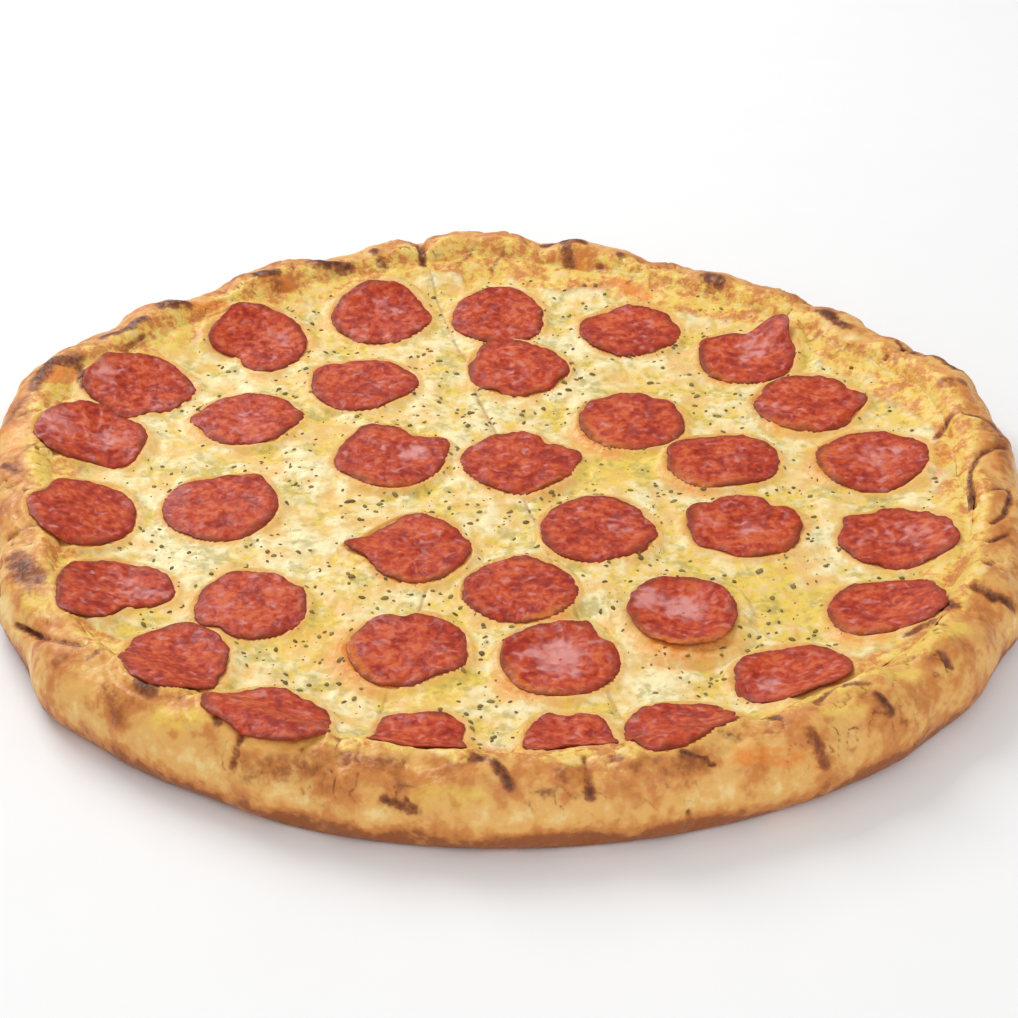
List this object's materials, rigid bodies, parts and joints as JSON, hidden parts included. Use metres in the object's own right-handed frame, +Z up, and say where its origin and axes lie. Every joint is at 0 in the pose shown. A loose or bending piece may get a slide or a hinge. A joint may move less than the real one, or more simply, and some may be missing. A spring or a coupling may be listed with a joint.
{
  "type": "pepperoni pizza",
  "caption": "Whole baked pepperoni pizza with a risen golden rim, melted pale cheese, herb flakes and round red meat slices, ready to rest flat on a table, board or tray.",
  "frame": {"origin": "the middle of the flat underside of the crust, where the pizza rests", "axes": "+Z is up, out of the cheese; +Y points away from the diner and +X to the right in the pictured view"},
  "size_m": [0.3547, 0.3579, 0.0296],
  "materials": {
    "crust": "baked golden dough, toasted brown in places",
    "cheese": "melted pale yellow cheese, slightly oily, with dark green herb flakes",
    "pepperoni": "oily red cured meat with paler fat and darker edges"
  },
  "bodies": {
    "root": {"crust": "crust", "cheese": "cheese", "pepperoni_01": "pepperoni", "pepperoni_02": "pepperoni", "pepperoni_03": "pepperoni", "pepperoni_04": "pepperoni", "pepperoni_05": "pepperoni", "pepperoni_06": "pepperoni", "pepperoni_07": "pepperoni", "pepperoni_08": "pepperoni", "pepperoni_09": "pepperoni", "pepperoni_10": "pepperoni", "pepperoni_11": "pepperoni", "pepperoni_12": "pepperoni", "pepperoni_13": "pepperoni", "pepperoni_14": "pepperoni", "pepperoni_15": "pepperoni", "pepperoni_16": "pepperoni", "pepperoni_17": "pepperoni", "pepperoni_18": "pepperoni", "pepperoni_19": "pepperoni", "pepperoni_20": "pepperoni", "pepperoni_21": "pepperoni", "pepperoni_22": "pepperoni", "pepperoni_23": "pepperoni", "pepperoni_24": "pepperoni", "pepperoni_25": "pepperoni", "pepperoni_26": "pepperoni", "pepperoni_27": "pepperoni", "pepperoni_28": "pepperoni", "pepperoni_29": "pepperoni", "pepperoni_30": "pepperoni", "pepperoni_31": "pepperoni", "pepperoni_32": "pepperoni", "pepperoni_33": "pepperoni", "pepperoni_34": "pepperoni", "pepperoni_35": "pepperoni"}
  },
  "joints": []
}
